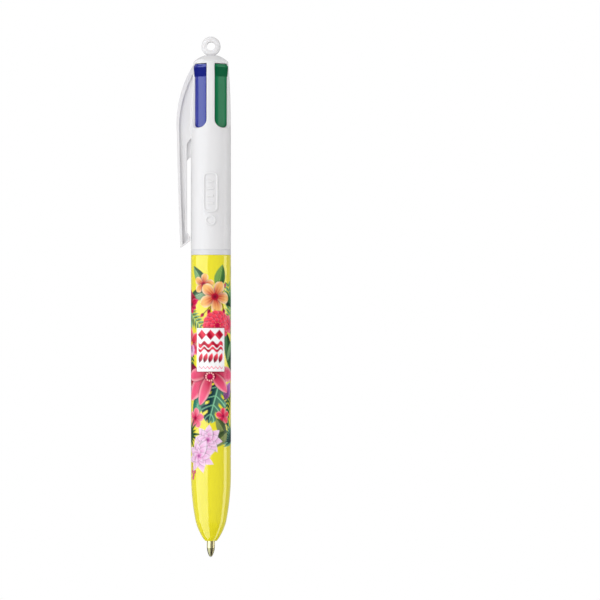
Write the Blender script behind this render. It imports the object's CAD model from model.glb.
import math

import bpy
import numpy as np
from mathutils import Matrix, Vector


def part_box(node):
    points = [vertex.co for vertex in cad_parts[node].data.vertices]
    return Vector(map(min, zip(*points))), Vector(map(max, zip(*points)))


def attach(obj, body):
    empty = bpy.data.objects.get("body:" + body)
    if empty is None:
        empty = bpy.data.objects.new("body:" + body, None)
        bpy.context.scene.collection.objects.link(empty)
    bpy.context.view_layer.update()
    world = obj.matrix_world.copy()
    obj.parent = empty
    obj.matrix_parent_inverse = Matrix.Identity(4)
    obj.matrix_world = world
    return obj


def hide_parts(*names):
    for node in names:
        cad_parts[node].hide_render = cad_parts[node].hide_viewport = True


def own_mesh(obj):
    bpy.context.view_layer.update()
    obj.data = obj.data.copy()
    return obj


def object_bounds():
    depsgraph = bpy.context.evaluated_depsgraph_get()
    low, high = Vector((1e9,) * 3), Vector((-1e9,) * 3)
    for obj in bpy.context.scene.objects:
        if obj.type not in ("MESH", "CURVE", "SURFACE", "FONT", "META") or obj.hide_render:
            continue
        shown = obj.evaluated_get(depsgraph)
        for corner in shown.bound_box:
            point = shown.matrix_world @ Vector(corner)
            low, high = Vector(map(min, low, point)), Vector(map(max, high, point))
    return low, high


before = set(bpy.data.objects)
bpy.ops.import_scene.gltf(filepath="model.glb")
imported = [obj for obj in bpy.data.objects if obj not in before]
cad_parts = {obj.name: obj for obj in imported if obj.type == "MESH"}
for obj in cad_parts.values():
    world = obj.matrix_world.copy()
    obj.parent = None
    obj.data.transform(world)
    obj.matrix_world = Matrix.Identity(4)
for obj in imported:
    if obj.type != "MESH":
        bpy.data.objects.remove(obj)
cad_low, cad_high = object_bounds()

MM = 0.001
TAU = 2 * math.pi
COLOURS = ("black", "blue", "green", "red")
LATCHED = "black"

# Sizes that come from the frame, with the barrel's way round in millimetres

barrel_low, barrel_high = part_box("lower_barrel")
BARREL_R = barrel_high.x
TOP_Z = barrel_high.z
NOSE_Z = barrel_low.z
GIRTH = TAU * BARREL_R / MM

# Heights of a slider's thumb head, of the rounding on top of it and of a writing point's cone, and half
# the width of a slider's face and how far it is shaded as if it fell at its long edges

HEAD_HEIGHT = 3.6 * MM
HEAD_ROUNDING = 0.9 * MM
CONE_HEIGHT = 2.5 * MM
FACE_HALF = 2.4 * MM
FACE_DROP = 0.4 * MM

# A slider's pad, beside the rest of it: how much darker, and how much of the gloss is gone

PAD_DARKER = 0.36
PAD_DULLER = 0.95

# The fineness of the ripple that a mould leaves, as a noise scale

RIPPLES = 1800.0


def linear(colour):
    """Scene-linear values of an 8-bit display colour."""
    value = np.asarray(colour, float) / 255
    return np.where(value <= 0.04045, value / 12.92, ((value + 0.055) / 1.055) ** 2.4)


# Materials


def new_material(name):
    """A node material, with its nodes, its links and its shader."""
    material = bpy.data.materials.new(name)
    material.use_nodes = True
    nodes = material.node_tree.nodes
    return material, nodes, material.node_tree.links, nodes["Principled BSDF"]


def position(nodes):
    """The object's own coordinates, in metres."""
    return nodes.new("ShaderNodeTexCoord").outputs["Object"]


def altitude(nodes, links):
    """The height of each point, in metres."""
    parts = nodes.new("ShaderNodeSeparateXYZ")
    links.new(position(nodes), parts.inputs["Vector"])
    return parts.outputs["Z"]


def noise(nodes, links, scale, detail=3.0):
    """Noise fixed to the object, with so many features to the metre."""
    texture = nodes.new("ShaderNodeTexNoise")
    texture.inputs["Scale"].default_value = scale
    texture.inputs["Detail"].default_value = detail
    links.new(position(nodes), texture.inputs["Vector"])
    return texture.outputs["Fac"]


def spread(nodes, links, source, low, high):
    """Noise's usual values, which lie about 0.5, spread over a range."""
    mapped = nodes.new("ShaderNodeMapRange")
    mapped.inputs["From Min"].default_value = 0.3
    mapped.inputs["From Max"].default_value = 0.7
    mapped.inputs["To Min"].default_value = low
    mapped.inputs["To Max"].default_value = high
    links.new(source, mapped.inputs["Value"])
    return mapped.outputs["Result"]


def calculated(nodes, links, operation, *values):
    """The result of one Math node on sockets and numbers."""
    step = nodes.new("ShaderNodeMath")
    step.operation = operation
    for index, value in enumerate(values):
        if isinstance(value, bpy.types.NodeSocket):
            links.new(value, step.inputs[index])
        else:
            step.inputs[index].default_value = value
    return step.outputs["Value"]


def scaled(nodes, links, colour, factor):
    """A colour times a factor."""
    product = nodes.new("ShaderNodeVectorMath")
    product.operation = "SCALE"
    links.new(colour, product.inputs[0])
    links.new(factor, product.inputs["Scale"])
    return product.outputs["Vector"]


def bump(nodes, links, shader, height, distance, strength):
    """Relief on a shader, a height times a distance in metres, and the normal that it gives."""
    relief = nodes.new("ShaderNodeBump")
    relief.inputs["Distance"].default_value = distance
    relief.inputs["Strength"].default_value = strength
    links.new(height, relief.inputs["Height"])
    links.new(relief.outputs["Normal"], shader.inputs["Normal"])
    return relief.outputs["Normal"]


def mottled(nodes, links, colour, mottle):
    """A colour that varies slightly from place to place."""
    base = linear(colour)
    ramp = nodes.new("ShaderNodeValToRGB")
    for element, share in zip(ramp.color_ramp.elements, (1 - mottle, 1 + mottle)):
        element.color = (*np.clip(base * share, 0, 1), 1)
    links.new(noise(nodes, links, 160.0), ramp.inputs["Fac"])
    return ramp.outputs["Color"]


def plastic(name, colour, rough, specular=0.5, mottle=0.03, soft=0.0):
    """Moulded plastic: slight colour variation, slightly uneven gloss and the faint ripple of a mould."""
    material, nodes, links, shader = new_material(name)
    links.new(mottled(nodes, links, colour, mottle), shader.inputs["Base Color"])
    links.new(spread(nodes, links, noise(nodes, links, 420.0), *rough), shader.inputs["Roughness"])
    shader.inputs["IOR"].default_value = 1.5
    shader.inputs["Specular IOR Level"].default_value = specular
    if soft:
        shader.inputs["Subsurface Weight"].default_value = 0.2
        shader.inputs["Subsurface Radius"].default_value = (1.0, 0.95, 0.9)
        shader.inputs["Subsurface Scale"].default_value = soft
    bump(nodes, links, shader, noise(nodes, links, RIPPLES, 2.0), 0.004 * MM, 0.2)
    return material


def slider_plastic(name, colour, gloss, outward, low, high):
    """Coloured plastic, glossy except on the thumb pad, between two heights in metres, which is matt and
    darker. The face that points outward is shaded as if it fell away towards its long edges."""
    material, nodes, links, shader = new_material(name)
    pad = calculated(nodes, links, "COMPARE", altitude(nodes, links), (low + high) / 2, (high - low) / 2)
    shade = calculated(nodes, links, "MULTIPLY_ADD", pad, -PAD_DARKER, 1.0)
    tone = scaled(nodes, links, mottled(nodes, links, colour, 0.03), shade)
    links.new(tone, shader.inputs["Base Color"])
    shader.inputs["Roughness"].default_value = 0.5
    shader.inputs["Specular IOR Level"].default_value = 0.03
    coat = calculated(nodes, links, "MULTIPLY_ADD", pad, -PAD_DULLER * gloss, gloss)
    links.new(coat, shader.inputs["Coat Weight"])
    shader.inputs["Coat Roughness"].default_value = 0.12
    shader.inputs["Coat IOR"].default_value = 1.5
    across = nodes.new("ShaderNodeVectorMath")
    across.operation = "DOT_PRODUCT"
    across.inputs[1].default_value = (-outward.y / FACE_HALF, outward.x / FACE_HALF, 0)
    links.new(position(nodes), across.inputs[0])
    edge = calculated(nodes, links, "POWER", across.outputs["Value"], 4.0)
    ripple = calculated(nodes, links, "MULTIPLY", noise(nodes, links, RIPPLES, 2.0), 0.0008 * MM)
    height = calculated(nodes, links, "MULTIPLY_ADD", edge, -FACE_DROP, ripple)
    links.new(bump(nodes, links, shader, height, 1.0, 1.0), shader.inputs["Coat Normal"])
    return material


def metal(name, colour, rough, rings=0.0, dark_below=None):
    """Metal with slightly uneven colour and gloss, and turning marks round the pen's axis where asked.
    Below a height in metres, where one is given, it is darker, as a writing point's worn cone is."""
    material, nodes, links, shader = new_material(name)
    base = linear(colour)
    shader.inputs["Metallic"].default_value = 1.0
    ramp = nodes.new("ShaderNodeValToRGB")
    for element, share in zip(ramp.color_ramp.elements, (0.86, 1.0)):
        element.color = (*(base * share), 1)
    links.new(noise(nodes, links, 700.0, 5.0), ramp.inputs["Fac"])
    tone = ramp.outputs["Color"]
    if dark_below is not None:
        cone = nodes.new("ShaderNodeMapRange")
        cone.inputs["From Min"].default_value = dark_below - 0.1 * MM
        cone.inputs["From Max"].default_value = dark_below
        cone.inputs["To Min"].default_value = 0.45
        links.new(altitude(nodes, links), cone.inputs["Value"])
        tone = scaled(nodes, links, tone, cone.outputs["Result"])
    links.new(tone, shader.inputs["Base Color"])
    links.new(spread(nodes, links, noise(nodes, links, 1500.0), *rough), shader.inputs["Roughness"])
    if rings:
        wave = nodes.new("ShaderNodeTexWave")
        wave.bands_direction = "Z"
        wave.inputs["Scale"].default_value = rings
        wave.inputs["Distortion"].default_value = 0.4
        links.new(position(nodes), wave.inputs["Vector"])
        bump(nodes, links, shader, wave.outputs["Fac"], 0.004 * MM, 0.12)
    return material


def printed_gloss(name):
    """Clear-lacquered print, with its colours from the mesh's own paint. The paint's alpha is how far a
    point is inked over, and the ink takes away most of the lacquer's gloss."""
    material, nodes, links, shader = new_material(name)
    paint = nodes.new("ShaderNodeVertexColor")
    paint.layer_name = "print"
    links.new(paint.outputs["Color"], shader.inputs["Base Color"])
    links.new(spread(nodes, links, noise(nodes, links, 300.0), 0.3, 0.42), shader.inputs["Roughness"])
    shader.inputs["Specular IOR Level"].default_value = 0.0
    lacquer = nodes.new("ShaderNodeMapRange")
    lacquer.inputs["To Min"].default_value = 1.0
    lacquer.inputs["To Max"].default_value = 0.3
    links.new(paint.outputs["Alpha"], lacquer.inputs["Value"])
    links.new(lacquer.outputs["Result"], shader.inputs["Coat Weight"])
    shader.inputs["Coat Roughness"].default_value = 0.045
    shader.inputs["Coat IOR"].default_value = 1.5
    bump(nodes, links, shader, noise(nodes, links, 500.0, 2.0), 0.003 * MM, 0.1)
    return material


def clear_tube(name):
    """Milky translucent extruded plastic."""
    material, nodes, links, shader = new_material(name)
    shader.inputs["Base Color"].default_value = (0.86, 0.88, 0.9, 1)
    shader.inputs["Transmission Weight"].default_value = 0.75
    links.new(spread(nodes, links, noise(nodes, links, 600.0), 0.22, 0.36), shader.inputs["Roughness"])
    return material


WHITE = plastic("white_plastic", (232, 231, 232), (0.2, 0.24), specular=0.14, mottle=0.008, soft=0.4 * MM)
COLLAR = plastic("collar_plastic", (220, 220, 224), (0.2, 0.26), specular=0.2, mottle=0.01)
CORE = plastic("core_plastic", (228, 228, 231), (0.35, 0.5), specular=0.3, mottle=0.015)
SLIDER_COLOURS = {
    "black": (24, 24, 26),
    "blue": (6, 24, 142),
    "green": (4, 118, 72),
    "red": (222, 22, 26),
}
SLIDER_GLOSS = {"black": 0.6, "blue": 0.92, "green": 0.24, "red": 0.6}
STEEL = metal("spring_steel", (185, 186, 190), (0.22, 0.36))
BALL = metal("ball_metal", (196, 196, 200), (0.08, 0.16))
TUBE = clear_tube("tube_plastic")
PRINT = printed_gloss("printed_yellow")


def dress(node, material):
    """Give a CAD node its material."""
    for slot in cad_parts[node].material_slots:
        slot.material = material


for node, material in (
    ("upper_barrel", WHITE),
    ("collar_ring", COLLAR),
    ("guide_core", CORE),
    ("spring_plate", CORE),
):
    dress(node, material)
for colour in COLOURS:
    shade = SLIDER_COLOURS[colour]
    low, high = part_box(f"{colour}_slider")
    outward = Vector((low.x + high.x, low.y + high.y, 0)).normalized()
    pad = (high.z - HEAD_HEIGHT, high.z - HEAD_ROUNDING)
    coloured = slider_plastic(f"{colour}_plastic", shade, SLIDER_GLOSS[colour], outward, *pad)
    dress(f"{colour}_slider", coloured)
    dress(f"{colour}_ink", plastic(f"{colour}_ink", shade, (0.3, 0.45)))
    dress(f"{colour}_tube", TUBE)
    cone_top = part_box(f"{colour}_point")[0].z + CONE_HEIGHT
    dress(f"{colour}_point", metal(f"{colour}_brass", (190, 180, 136), (0.22, 0.3), 9000.0, cone_top))
    dress(f"{colour}_ball", BALL)


# The print: the pattern is painted on the lower barrel's mesh, on a grid of two coordinates in
# millimetres. "along" runs round the barrel, 0 in front and positive to the right, and "down" is the
# depth below the collar. A spot is a pair of those, and an angle of 0 points right and 90 up.

YELLOW = (239, 227, 37)
NIGHT_GREEN, DARK_GREEN, MID_GREEN, PALE_GREEN = (10, 44, 30), (20, 74, 44), (58, 134, 66), (166, 216, 150)
DEEP_TEAL, MID_TEAL, PALE_TEAL = (4, 52, 62), (24, 118, 100), (146, 218, 170)
OLIVE, PALE_OLIVE = (52, 74, 40), (168, 182, 106)
WINE, CRIMSON, MAGENTA, CORAL = (98, 0, 34), (176, 0, 46), (216, 8, 84), (250, 70, 92)
PINK, PALE_PINK, PEACH, CREAM = (255, 122, 150), (255, 206, 208), (255, 192, 112), (255, 246, 214)
LILAC, PALE_LILAC, PLUM = (222, 112, 188), (248, 212, 240), (112, 36, 104)
WHITE_INK = (254, 254, 254)
BORE_YELLOW = (236, 226, 60)
PRINT_SOFTNESS = 0.16


class Canvas:
    """The colours of a grid of points, painted with soft-edged shapes, and how far each is inked over."""

    def __init__(self, along, down, base, soft):
        self.along = along
        self.down = down
        self.soft = soft
        self.colour = np.empty(along.shape + (3,))
        self.colour[:] = linear(base)
        self.ink = np.zeros(along.shape)

    def offset(self, spot):
        """How far each point is from a spot: to the right, and up."""
        right = (self.along - spot[0] + GIRTH / 2) % GIRTH - GIRTH / 2
        return right, spot[1] - self.down

    def edge(self, inside):
        """1 well inside a shape and 0 outside, from the distance inside in millimetres."""
        return np.clip(inside / self.soft + 0.5, 0, 1)

    def paint(self, cover, colour):
        """Lay a colour over what is there, as far as the cover says."""
        self.colour += (colour - self.colour) * cover[..., None]
        self.ink = np.maximum(self.ink, cover)

    def shadow(self, inside, reach):
        """Darken what is already printed close to a new shape."""
        near = np.clip(1 + inside / reach, 0, 1) * self.ink
        self.colour *= (1 - 0.45 * near)[..., None]

    def blade(self, base, tip, width, peak, blunt):
        """A shape between two spots: (share of the length, share of the half-width, cover)."""
        reach = math.hypot(tip[0] - base[0], tip[1] - base[1])
        ahead = ((tip[0] - base[0]) / reach, (base[1] - tip[1]) / reach)
        right, up = self.offset(base)
        share = (right * ahead[0] + up * ahead[1]) / reach
        across = up * ahead[0] - right * ahead[1]
        held = np.clip(share, 0, 1)
        half = width / 2 * np.sin(math.pi * held ** peak) ** blunt
        inside = np.minimum(half - np.abs(across), np.minimum(share, 1 - share) * reach + self.soft)
        self.shadow(inside, 0.1 + 0.13 * width)
        return held, across / np.maximum(half, 0.02), self.edge(inside)


def mixed(first, second, share):
    """A colour between two display colours for every point."""
    share = np.clip(share, 0, 1)[..., None]
    return linear(first) * (1 - share) + linear(second) * share


def toward(spot, angle, distance):
    """The spot at an angle and a distance from another."""
    turn = math.radians(angle)
    return spot[0] + distance * math.cos(turn), spot[1] - distance * math.sin(turn)


def leaf(canvas, base, tip, width, dark, light, veins, blunt=0.8):
    """A pointed leaf, with one side in the light, a pale midrib and slanting side veins."""
    share, side, cover = canvas.blade(base, tip, width, 0.8, blunt)
    ribs = np.cos(TAU * (share * veins - np.abs(side) * 1.1)) ** 6
    tone = 0.2 + 0.26 * np.tanh(4 * side) + 0.36 * ribs * (1 - np.abs(side)) + 0.16 * share
    tone = np.maximum(tone, 1.1 - np.abs(side) / 0.1)
    canvas.paint(cover, mixed(dark, light, tone))


def petal(canvas, base, tip, width, inner, outer, rim, streaks, blunt, peak):
    """A rounded petal, from its dark inner end to its lighter outer end, with fine streaks, and with a
    rim of its own colour unless that is None."""
    share, side, cover = canvas.blade(base, tip, width, peak, blunt)
    lines = 0.22 * np.cos(math.pi * streaks * side) * (1.1 - share)
    canvas.paint(cover, mixed(inner, outer, share * 1.5 - 0.18 + lines - 0.18 * side))
    if rim is not None:
        canvas.paint(cover * np.clip((np.abs(side) - 0.5) * 2, 0, 0.9) * share, linear(rim))


def disc(canvas, spot, radius, inner, outer, squash=1.0):
    """A round spot, or a flatter one where it is squashed."""
    right, up = canvas.offset(spot)
    away = np.hypot(right, up / squash)
    canvas.paint(canvas.edge(radius - away), mixed(inner, outer, away / radius))


def flower(canvas, spot, radius, turn, inner, outer, heart, fat=0.8, rim=None):
    """Five petals round a dark heart."""
    for number in range(5):
        angle = turn + 72 * number
        tip = toward(spot, angle, radius)
        start = toward(spot, angle, radius * 0.04)
        petal(canvas, start, tip, radius * fat, inner, outer, rim, 4, 0.5, 1.5)
    disc(canvas, spot, radius * 0.22, heart, inner)


def fan(canvas, base, length, start, stop, count, width, dark, light):
    """Narrow blades that spread from one spot."""
    for number in range(count):
        angle = start + (stop - start) * number / (count - 1)
        reach = length * (0.82 + 0.18 * math.cos(2.4 * number))
        leaf(canvas, base, toward(base, angle, reach), width, dark, light, 1, 0.9)


def frond(canvas, base, tip, length, count, width, dark, light):
    """Leaflets in pairs along a midrib."""
    lean = math.degrees(math.atan2(base[1] - tip[1], tip[0] - base[0]))
    for number in range(count):
        share = (number + 0.5) / count
        spot = (base[0] + (tip[0] - base[0]) * share, base[1] + (tip[1] - base[1]) * share)
        reach = length * (1 - 0.5 * share)
        for turn in (-46, 46):
            leaf(canvas, spot, toward(spot, lean + turn, reach), width, dark, light, 1, 0.9)
    leaf(canvas, base, tip, 0.4, light, light, 1)


def monstera(canvas, base, tip, width, dark, light):
    """A broad split leaf: fingers between slits, each finger with a pale vein."""
    share, side, cover = canvas.blade(base, tip, width, 0.6, 0.5)
    phase = share * 4.5 - np.abs(side) * 0.85
    gap = np.cos(TAU * phase)
    open_slit = np.clip((gap - 0.56 + 0.1 * share) * 5, 0, 1) * np.clip((np.abs(side) - 0.3) * 6, 0, 1)
    veins = np.clip((-gap - 0.86) * 9, 0, 1)
    tone = 0.14 + 0.2 * np.tanh(3 * side) + 0.6 * veins + 0.3 * np.clip(np.abs(side) - 0.5, 0, 1)
    tone = np.maximum(tone, 1.1 - np.abs(side) / 0.07)
    canvas.paint(cover * (1 - open_slit), mixed(dark, light, tone))


def bud(canvas, base, tip, width, inner, outer):
    """A slim closed bud."""
    petal(canvas, base, tip, width, inner, outer, None, 3, 0.9, 0.9)


def stalk(canvas, start, end, width, colour):
    """A thin straight stalk of one colour."""
    cover = canvas.blade(start, end, width, 0.5, 0.12)[2]
    canvas.paint(cover, linear(colour))


def trumpet(canvas, base, mouth, width):
    """A hanging trumpet flower: a green tube that widens and reddens, with a pointed mouth."""
    share, side, cover = canvas.blade(base, mouth, width, 2.6, 1.25)
    ramp = mixed((112, 164, 96), PINK, share * 2.6)
    red = np.clip(share * 2.2 - 0.55, 0, 1)[..., None]
    stripe = (1 - 0.45 * np.cos(9 * side) ** 2)[..., None]
    canvas.paint(cover, (ramp * (1 - red) + linear(CRIMSON) * red) * stripe)
    lean = math.degrees(math.atan2(base[1] - mouth[1], mouth[0] - base[0]))
    centre = (base[0] + (mouth[0] - base[0]) * 0.86, base[1] + (mouth[1] - base[1]) * 0.86)
    for turn, reach in ((-95, 0.66), (-50, 0.5), (0, 0.5), (50, 0.5), (95, 0.66)):
        end = toward(centre, lean + turn, width * reach)
        petal(canvas, centre, end, width * 0.42, CRIMSON, MAGENTA, PINK, 3, 0.9, 0.8)
    disc(canvas, centre, width * 0.14, NIGHT_GREEN, WINE, 0.7)


def orchid(canvas, spot, scale, turn, inner=CRIMSON, outer=CORAL, rim=PALE_PINK):
    """Five striped petals and a pale frilled lip with a dark spot."""
    for angle, reach, width in (
        (95, 5.2, 3.5), (150, 5.0, 3.4), (35, 4.6, 3.0), (215, 4.8, 3.2), (320, 4.4, 3.0),
    ):
        tip = toward(spot, angle + turn, reach * scale)
        petal(canvas, spot, tip, width * scale, inner, outer, rim, 7, 0.6, 1.0)
    lip = toward(spot, 265 + turn, 1.5 * scale)
    for number in range(9):
        edge = toward(lip, 40 * number, 1.25 * scale)
        disc(canvas, edge, 0.7 * scale, PALE_PINK, LILAC)
    disc(canvas, lip, 1.3 * scale, PLUM, PALE_LILAC)
    disc(canvas, toward(lip, 90 + turn, 0.7 * scale), 0.75 * scale, WINE, LILAC)
    disc(canvas, toward(spot, 80 + turn, 0.4 * scale), 0.7 * scale, (250, 214, 90), (236, 150, 60))


def ruffle(canvas, spot, radius, inner, outer):
    """A full ruffled bloom of many ragged petals."""
    for ring, count in ((1.0, 13), (0.76, 11), (0.5, 8)):
        for number in range(count):
            angle = 360 * number / count + 17 * ring
            start, end = toward(spot, angle, radius * ring * 0.3), toward(spot, angle, radius * ring)
            petal(canvas, start, end, radius * 0.5 * ring + 0.3, inner, outer, PINK, 5, 0.45, 1.7)
    disc(canvas, spot, radius * 0.2, CRIMSON, MAGENTA)


def label(canvas, spot, width, height):
    """A plain white card with rows of simple shapes: diamonds, a wave, leaves and a fine wave."""
    right, up = canvas.offset(spot)
    card = np.minimum(width / 2 - np.abs(right), height / 2 - np.abs(up))
    canvas.shadow(card, 0.5)
    canvas.paint(canvas.edge(card), linear(WHITE_INK))
    canvas.ink *= 1 - canvas.edge(card)
    red = mixed(CRIMSON, CORAL, 0.4 + 0.45 * np.sin(1.9 * right + 1.3 * up))
    for number in (-1, 0, 1):
        diamond = 1.38 - np.abs(right - 2.6 * number) - np.abs(up - 4.3) * 0.92
        canvas.paint(canvas.edge(diamond), red)
    room = canvas.edge(3.75 - np.abs(right))
    for level, thick in ((1.5, 0.6), (0.1, 0.42)):
        wave = thick - np.abs(up - level - 0.45 * np.sin(right * TAU / 2.45))
        canvas.paint(canvas.edge(wave) * room, red)
    for number in (-2, -1, 0, 1, 2):
        start = (spot[0] + 1.5 * number - 0.4, spot[1] + 3.7)
        bud(canvas, start, (start[0] + 0.9, start[1] - 2.8), 1.3, WINE, CORAL)
    fine = 0.16 - np.abs(up + 5.1 - 0.28 * np.sin(right * TAU / 1.2))
    canvas.paint(canvas.edge(fine) * room, linear(PINK))


def paint_greens(canvas):
    """The leaves behind all the flowers."""
    for base, tip, length, count, width, dark, light in (
        ((-10.4, 14.6), (-2.6, 20.6), 4.2, 8, 0.8, DARK_GREEN, PALE_GREEN),
        ((8.2, 23.4), (6.0, 8.4), 4.0, 11, 0.9, MID_GREEN, PALE_GREEN),
        ((17.4, 17.0), (14.8, 29.0), 4.2, 11, 0.8, DARK_GREEN, MID_GREEN),
        ((-8.0, 22.0), (-6.6, 34.0), 3.2, 9, 0.9, DARK_GREEN, MID_GREEN),
        ((6.6, 37.0), (5.0, 48.6), 3.4, 9, 0.8, NIGHT_GREEN, MID_GREEN),
        ((-16.8, 31.6), (-17.6, 44.8), 4.0, 10, 0.8, NIGHT_GREEN, MID_GREEN),
        ((9.6, 40.0), (15.4, 49.0), 4.0, 8, 0.9, DARK_GREEN, PALE_GREEN),
    ):
        frond(canvas, base, tip, length, count, width, dark, light)
    for base, length, start, stop, count, width, dark, light in (
        ((8.8, 14.0), 7.0, 20, 170, 11, 0.9, MID_GREEN, PALE_GREEN),
        ((-8.6, 40.8), 8.4, 120, 212, 14, 0.55, NIGHT_GREEN, MID_GREEN),
        ((-8.6, 59.2), 8.8, 92, 218, 17, 0.75, MID_GREEN, (150, 196, 126)),
        ((8.8, 53.6), 7.6, 60, 196, 13, 1.1, DEEP_TEAL, PALE_TEAL),
        ((-16.6, 52.4), 6.6, 20, 175, 13, 0.8, NIGHT_GREEN, MID_GREEN),
        ((14.4, 56.8), 7.0, 15, 160, 13, 0.9, MID_GREEN, PALE_GREEN),
    ):
        fan(canvas, base, length, start, stop, count, width, dark, light)
    for base, tip, width, dark, light, veins in (
        ((-11.2, 3.0), (-16.4, 8.6), 3.8, NIGHT_GREEN, (112, 164, 96), 9),
        ((12.4, 9.0), (17.4, 2.8), 3.2, DARK_GREEN, PALE_GREEN, 9),
        ((11.0, 9.0), (8.2, 3.0), 2.8, NIGHT_GREEN, MID_GREEN, 8),
        ((8.4, 33.6), (4.6, 21.6), 4.2, NIGHT_GREEN, MID_GREEN, 9),
        ((5.8, 30.4), (9.6, 23.6), 3.0, DARK_GREEN, PALE_GREEN, 8),
        ((-2.2, 39.6), (-6.0, 46.8), 4.2, MID_TEAL, PALE_TEAL, 7),
        ((-10.6, 30.0), (-16.0, 34.8), 3.4, NIGHT_GREEN, MID_GREEN, 8),
        ((13.0, 30.6), (17.6, 36.6), 3.2, DARK_GREEN, PALE_GREEN, 8),
    ):
        leaf(canvas, base, tip, width, dark, light, veins)
    for base, tip, width in (
        ((-9.8, 15.4), (-14.2, 27.4), 9.4),
        ((2.6, 36.4), (-0.6, 48.2), 8.6),
        ((15.6, 18.6), (10.6, 28.8), 8.0),
        ((16.8, 37.6), (13.0, 48.4), 7.8),
    ):
        monstera(canvas, base, tip, width, DEEP_TEAL, PALE_TEAL)


def paint_top(canvas):
    """Peach flowers between broad leaves, and hanging trumpets, under the collar."""
    for base, tip, width, dark, light in (
        ((-1.2, 9.2), (-5.8, 3.2), 3.3, DARK_GREEN, PALE_GREEN),
        ((2.2, 9.4), (3.7, 2.8), 3.5, (30, 96, 44), (158, 204, 104)),
        ((-1.0, 10.6), (-8.6, 12.8), 3.3, DARK_GREEN, (186, 224, 178)),
        ((3.4, 11.8), (9.0, 14.8), 2.8, NIGHT_GREEN, MID_GREEN),
    ):
        leaf(canvas, base, tip, width, dark, light, 9)
    for start, end in (((-11.2, 2.8), (-9.2, 6.8)), ((-11.3, 2.8), (-11.4, 6.4))):
        stalk(canvas, start, end, 0.34, NIGHT_GREEN)
    trumpet(canvas, (-11.2, 5.4), (-14.3, 15.0), 4.8)
    trumpet(canvas, (-9.6, 6.0), (-6.8, 15.6), 5.6)
    for base, tip in (
        ((2.9, 12.6), (4.8, 8.1)), ((3.0, 12.4), (4.4, 17.0)),
        ((1.0, 13.6), (-0.9, 17.0)), ((0.2, 14.6), (-3.1, 17.9)),
    ):
        stalk(canvas, base, tip, 0.26, WINE)
        angle = math.degrees(math.atan2(base[1] - tip[1], tip[0] - base[0]))
        bud(canvas, toward(tip, angle, -1.7), tip, 1.0, WINE, MAGENTA)
    for spot, radius, turn in (((-2.1, 8.4), 3.1, 78), ((1.3, 12.0), 4.7, 64), ((13.4, 9.8), 4.4, 50)):
        flower(canvas, spot, radius, turn, (196, 20, 52), PEACH, WINE, fat=0.7, rim=CREAM)
    flower(canvas, (17.8, 14.4), 2.8, 20, CORAL, PALE_PINK, MAGENTA)


def paint_left(canvas):
    """The orchids and the pale flowers on the clip's side."""
    flower(canvas, (-13.6, 28.6), 3.1, 50, MAGENTA, PALE_PINK, CRIMSON)
    for tip in ((-3.6, 34.6), (-11.8, 30.4), (-12.2, 34.4), (-7.2, 36.2)):
        petal(canvas, (-7.6, 31.4), tip, 2.6, WINE, MAGENTA, None, 7, 0.8, 1.0)
    orchid(canvas, (-7.2, 25.8), 1.02, 8)
    orchid(canvas, (-8.3, 37.6), 0.86, 14, WINE, (224, 40, 64), CORAL)
    stalk(canvas, (-8.2, 41.6), (-7.4, 46.5), 0.34, MID_GREEN)
    orchid(canvas, (12.0, 34.4), 1.0, -20)


def paint_front(canvas):
    """The ruffled bloom, the card and the large lily across the front."""
    flower(canvas, (5.9, 20.0), 2.7, 10, MAGENTA, PINK, WINE)
    ruffle(canvas, (2.0, 20.2), 4.3, MAGENTA, CORAL)
    petal(canvas, (4.4, 41.4), (7.4, 36.6), 3.4, PLUM, (184, 112, 196), PALE_LILAC, 5, 0.7, 1.0)
    for tip, width in (
        ((-7.8, 41.6), 4.8),
        ((-8.6, 35.0), 3.6),
        ((9.0, 34.8), 4.4),
        ((-3.2, 43.0), 3.2),
        ((5.4, 39.4), 3.2),
    ):
        petal(canvas, (0.2, 33.6), tip, width, CRIMSON, (252, 96, 138), PALE_PINK, 9, 0.62, 1.1)
    disc(canvas, (-0.2, 34.8), 1.8, MAGENTA, WINE, 0.7)
    for number in range(11):
        disc(canvas, toward((-0.2, 34.9), 33 * number, 1.15), 0.26, CREAM, PINK)
    label(canvas, (0.0, 27.2), 8.6, 12.4)


def paint_low(canvas):
    """The palms, the olive leaves and the pink and lilac blooms towards the nose."""
    for spot, radius, turn, inner, outer in (
        ((-12.2, 46.8), 3.6, 30, MAGENTA, (250, 130, 132)),
        ((-4.9, 46.8), 2.9, 10, MAGENTA, PINK),
        ((3.9, 46.2), 2.4, 20, MAGENTA, CORAL),
        ((11.8, 50.6), 3.3, 12, MAGENTA, CORAL),
    ):
        flower(canvas, spot, radius, turn, inner, outer, WINE, rim=PALE_PINK)
    fan(canvas, (-8.4, 51.4), 5.8, 0, 342, 19, 0.8, NIGHT_GREEN, (46, 116, 58))
    stalk(canvas, (4.8, 51.2), (1.0, 50.6), 0.26, OLIVE)
    leaf(canvas, (4.6, 51.4), (1.6, 46.8), 3.0, OLIVE, PALE_OLIVE, 7)
    leaf(canvas, (5.4, 50.8), (0.1, 55.2), 3.4, OLIVE, PALE_OLIVE, 7)
    stalk(canvas, (-7.2, 58.6), (-5.9, 62.0), 0.28, WINE)
    for spot in ((-6.0, 61.2), (-5.3, 62.2), (-6.6, 62.2), (-5.9, 63.1), (-6.2, 64.0)):
        disc(canvas, spot, 0.55, PINK, (176, 60, 110))
    for spot, radius, turn in (((-0.8, 53.0), 4.4, 84), ((-3.6, 57.6), 5.0, 62), ((12.6, 59.0), 4.8, 75)):
        for count, reach, width in ((8, 1.0, 2.5), (7, 0.72, 1.9), (5, 0.42, 1.2)):
            for number in range(count):
                tip = toward(spot, turn + 360 * (number + reach) / count, radius * reach)
                petal(canvas, spot, tip, width, LILAC, PALE_LILAC, (255, 236, 250), 7, 0.9, 0.8)
        disc(canvas, spot, 0.5, PLUM, LILAC)


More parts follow.
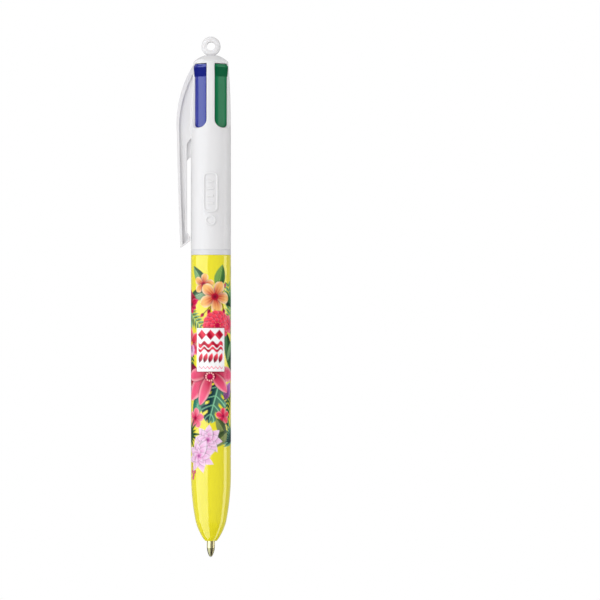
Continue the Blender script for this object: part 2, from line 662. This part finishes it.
# The lower barrel as one fine turned mesh that carries the print, with its sizes in millimetres. Its
# rings lie close together down to the end of the print, and further apart on the nose.

STEPS_ROUND = 240
PRINT_END = 66.0
PRINT_PITCH = 0.18
NOSE_PITCH = 0.45
NOSE_HOLE_R = 1.3
BORE_R = 4.85
NECK_BORE_R = 5.0
NECK_BORE_DEPTH = 10.2


def bulge(height, start, end, arc):
    """The radius at a height on an arc that bulges outwards between two (radius, height) pairs."""
    way = np.subtract(end, start)
    half = np.hypot(*way) / 2
    depth = math.sqrt(arc ** 2 - half ** 2)
    centre_r = (start[0] + end[0]) / 2 - way[1] / half / 2 * depth
    centre_h = (start[1] + end[1]) / 2 + way[0] / half / 2 * depth
    return centre_r + math.sqrt(arc ** 2 - (height - centre_h) ** 2)


def ogive(height):
    """The barrel's outer radius at a height in millimetres above its end."""
    rim, knee, full = (1.78, 0.0), (4.39, 5.5), (5.75, 19.5)
    if height > full[1]:
        return full[0]
    if height > knee[1]:
        return bulge(height, knee, full, arc=72.0)
    return bulge(height, rim, knee, arc=17.0)


def barrel_profile():
    """(radius, depth below the collar) in millimetres down the outside, and then up the bore."""
    length = (TOP_Z - NOSE_Z) / MM
    outer = [(NECK_BORE_R + 0.02, 0.0), (5.55, 0.0), (5.70, 0.06), (5.75, 0.22)]
    print_rows = np.arange(0.4, PRINT_END, PRINT_PITCH)
    nose_rows = np.arange(PRINT_END + 0.2, length - 0.25, NOSE_PITCH)
    for depth in (*print_rows, *nose_rows):
        outer.append((ogive(length - depth), depth))
    nose = ogive(0.0)
    outer += [(nose, length - 0.1), (nose - 0.08, length)]
    outer += [(NOSE_HOLE_R + 0.08, length), (NOSE_HOLE_R, length - 0.08)]
    bore = [(NOSE_HOLE_R, length - 1.5), (3.45, length - 5.8), (4.75, length - 16.0)]
    bore += [(BORE_R, length - 19.5), (BORE_R, NECK_BORE_DEPTH), (NECK_BORE_R, NECK_BORE_DEPTH)]
    return outer, bore


def turned(name, profile, steps, top):
    """A closed mesh turned round Z from (radius, depth) pairs in millimetres."""
    turn = np.arange(steps) / steps * TAU
    rings = np.array(profile) * MM
    points = np.stack(
        [
            np.outer(rings[:, 0], np.sin(turn)),
            np.outer(rings[:, 0], -np.cos(turn)),
            np.repeat(top - rings[:, 1:], steps, axis=1),
        ],
        axis=-1,
    ).reshape(-1, 3)
    row = np.arange(len(profile))[:, None]
    column = np.arange(steps)[None, :]
    after, below = (column + 1) % steps, (row + 1) % len(profile)
    corners = [row * steps + column, below * steps + column, below * steps + after, row * steps + after]
    faces = np.stack(corners, axis=-1)
    mesh = bpy.data.meshes.new(name)
    mesh.from_pydata(points.tolist(), [], faces.reshape(-1, 4).tolist())
    mesh.polygons.foreach_set("use_smooth", [True] * len(mesh.polygons))
    mesh.update()
    thing = bpy.data.objects.new(name, mesh)
    bpy.context.scene.collection.objects.link(thing)
    return thing


def printed_barrel():
    """The lower barrel with its print, in place of the plain CAD one."""
    outer, bore = barrel_profile()
    profile = outer + bore
    thing = turned("printed_barrel", profile, STEPS_ROUND, TOP_Z)
    step = np.arange(STEPS_ROUND)
    along = np.where(step < STEPS_ROUND / 2, step, step - STEPS_ROUND) / STEPS_ROUND * GIRTH
    canvas = Canvas(*np.meshgrid(along, np.array(profile)[:, 1]), YELLOW, PRINT_SOFTNESS)
    for paint in (paint_greens, paint_left, paint_top, paint_front, paint_low):
        paint(canvas)
    canvas.colour[len(outer):] = linear(BORE_YELLOW)
    attribute = thing.data.color_attributes.new("print", "FLOAT_COLOR", "POINT")
    rgba = np.dstack([canvas.colour, canvas.ink])
    attribute.data.foreach_set("color", rgba.ravel())
    thing.data.materials.append(PRINT)
    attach(thing, "lower_body")
    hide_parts("lower_barrel")


printed_barrel()


# The springs, with closed coils at both ends. Each of the three that stand free at rest shortens as
# its slider goes down.

WIRE_R = 0.15 * MM
WIRE_SIDES = 10
SPRING_TURNS = 12
STEPS_PER_TURN = 30
CLOSED_TURNS = 1.25
CLOSED_PITCH = 2.1 * WIRE_R


def wire(name, path, radius, sides):
    """A round wire along a path of points, with flat ends."""
    ahead = np.gradient(path, axis=0)
    ahead /= np.linalg.norm(ahead, axis=1)[:, None]
    out = np.cross(ahead, (0.0, 0.0, 1.0))
    out /= np.linalg.norm(out, axis=1)[:, None]
    up = np.cross(out, ahead)
    turn = (np.arange(sides) / sides * TAU)[None, :, None]
    points = path[:, None] + radius * (np.cos(turn) * out[:, None] + np.sin(turn) * up[:, None])
    row = np.arange(len(path) - 1)[:, None] * sides
    column = np.arange(sides)[None, :]
    after = (column + 1) % sides
    faces = np.stack([row + column, row + after, row + sides + after, row + sides + column], axis=-1)
    first = list(range(sides))[::-1]
    last = [len(path) * sides - sides + number for number in range(sides)]
    mesh = bpy.data.meshes.new(name)
    mesh.from_pydata(points.reshape(-1, 3).tolist(), [], faces.reshape(-1, 4).tolist() + [first, last])
    mesh.polygons.foreach_set("use_smooth", [True] * (len(mesh.polygons) - 2) + [False] * 2)
    mesh.update()
    thing = bpy.data.objects.new(name, mesh)
    bpy.context.scene.collection.objects.link(thing)
    return thing


def spring(colour):
    """One coil from its plate up to its slider, in place of the CAD spring."""
    low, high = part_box(f"{colour}_spring")
    middle = (low + high) / 2
    coil_r = (high.x - low.x) / 2 - WIRE_R
    room = high.z - low.z - 2 * WIRE_R
    closed = CLOSED_TURNS * CLOSED_PITCH
    turns = np.linspace(0, SPRING_TURNS, SPRING_TURNS * STEPS_PER_TURN + 1)
    knots = (0, CLOSED_TURNS, SPRING_TURNS - CLOSED_TURNS, SPRING_TURNS)
    rise = np.interp(turns, knots, (0, closed, room - closed, room))
    right = middle.x + coil_r * np.cos(TAU * turns)
    back = middle.y + coil_r * np.sin(TAU * turns)
    path = np.stack([right, back, low.z + WIRE_R + rise], axis=-1)
    thing = wire(f"{colour}_coil", path, WIRE_R, WIRE_SIDES)
    thing.data.materials.append(STEEL)
    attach(thing, "upper_body")
    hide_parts(f"{colour}_spring")
    if colour != LATCHED:
        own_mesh(thing)


for colour in COLOURS:
    spring(colour)


# Stage, light and camera, with their lengths in metres

FLOOR_WIDTH = 1.0
FLOOR_GAP = 0.055
LAMP_DISTANCE = 0.5
FRAME_WIDTH = 0.1725
FRAME_CENTRE = (0.0256, -0.0729)


def floor():
    """A pale floor below the pen, left out of its reflections."""
    bpy.ops.mesh.primitive_plane_add(size=FLOOR_WIDTH, location=(0, 0, cad_low.z - FLOOR_GAP))
    plane = bpy.context.object
    plane.name = "floor"
    plane.visible_glossy = False
    material, _, _, shader = new_material("floor_paper")
    shader.inputs["Base Color"].default_value = (0.93, 0.93, 0.93, 1)
    shader.inputs["Roughness"].default_value = 0.7
    plane.data.materials.append(material)


def panel(name, azimuth, width, height, radiance, glossy, lift=0.0, tint=(1, 1, 1)):
    """A panel light half a metre from the pen and facing it. Azimuth 0 is at the camera, and positive
    is to the right. A glossy panel is for highlights alone, and any other for everything but them."""
    centre = (cad_low + cad_high) / 2
    centre.x = 0
    turn = math.radians(azimuth)
    data = bpy.data.lights.new(name, "AREA")
    data.shape = "RECTANGLE"
    data.size = width
    data.size_y = height
    data.energy = radiance * math.pi * width * height
    data.color = tint
    lamp = bpy.data.objects.new(name, data)
    away = Vector((LAMP_DISTANCE * math.sin(turn), -LAMP_DISTANCE * math.cos(turn), lift))
    lamp.location = centre + away
    lamp.rotation_euler = (centre - lamp.location).to_track_quat("-Z", "Y").to_euler()
    lamp.visible_diffuse = not glossy
    lamp.visible_glossy = glossy
    bpy.context.scene.collection.objects.link(lamp)


def surroundings():
    """A white room: seen as white, lighting the pen more softly than that, and dark underfoot in its
    reflections alone."""
    world = bpy.data.worlds.new("studio")
    bpy.context.scene.world = world
    world.use_nodes = True
    nodes, links = world.node_tree.nodes, world.node_tree.links
    back = nodes["Background"]
    back.inputs["Color"].default_value = (1, 1, 1, 1)
    path = nodes.new("ShaderNodeLightPath")
    place = nodes.new("ShaderNodeTexCoord")
    parts = nodes.new("ShaderNodeSeparateXYZ")
    underfoot = nodes.new("ShaderNodeMapRange")
    for name, value in (("From Min", -0.35), ("From Max", -0.6), ("To Max", -0.42)):
        underfoot.inputs[name].default_value = value
    general = nodes.new("ShaderNodeMapRange")
    general.inputs["To Min"].default_value = 0.52
    general.inputs["To Max"].default_value = 1.0
    links.new(place.outputs["Generated"], parts.inputs["Vector"])
    links.new(parts.outputs["Z"], underfoot.inputs["Value"])
    links.new(path.outputs["Is Camera Ray"], general.inputs["Value"])
    dark = calculated(nodes, links, "MULTIPLY", underfoot.outputs["Result"], path.outputs["Is Glossy Ray"])
    total = calculated(nodes, links, "ADD", general.outputs["Result"], dark)
    links.new(total, back.inputs["Strength"])


def camera():
    """A long lens, level with the middle of the pen, which stands left of the frame's centre."""
    data = bpy.data.cameras.new("camera")
    data.sensor_width = 36
    data.lens = 250
    thing = bpy.data.objects.new("camera", data)
    distance = FRAME_WIDTH * data.lens / data.sensor_width
    thing.location = (FRAME_CENTRE[0], -distance, FRAME_CENTRE[1])
    thing.rotation_euler = (math.radians(90), 0, 0)
    bpy.context.scene.collection.objects.link(thing)
    bpy.context.scene.camera = thing


floor()
panel("key", -38, 0.5, 0.7, 1.48, glossy=False)
panel("top", -20, 0.5, 0.5, 1.45, glossy=False, lift=0.7)
panel("fill", 75, 0.5, 0.8, 0.55, glossy=False)
panel("gloss_left", -56, 0.8, 2.4, 3.2, glossy=True, tint=(0.82, 0.93, 1))
panel("gloss_right", 92, 0.2, 2.4, 3.0, glossy=True)
surroundings()
camera()
bpy.context.scene.view_settings.view_transform = "Standard"
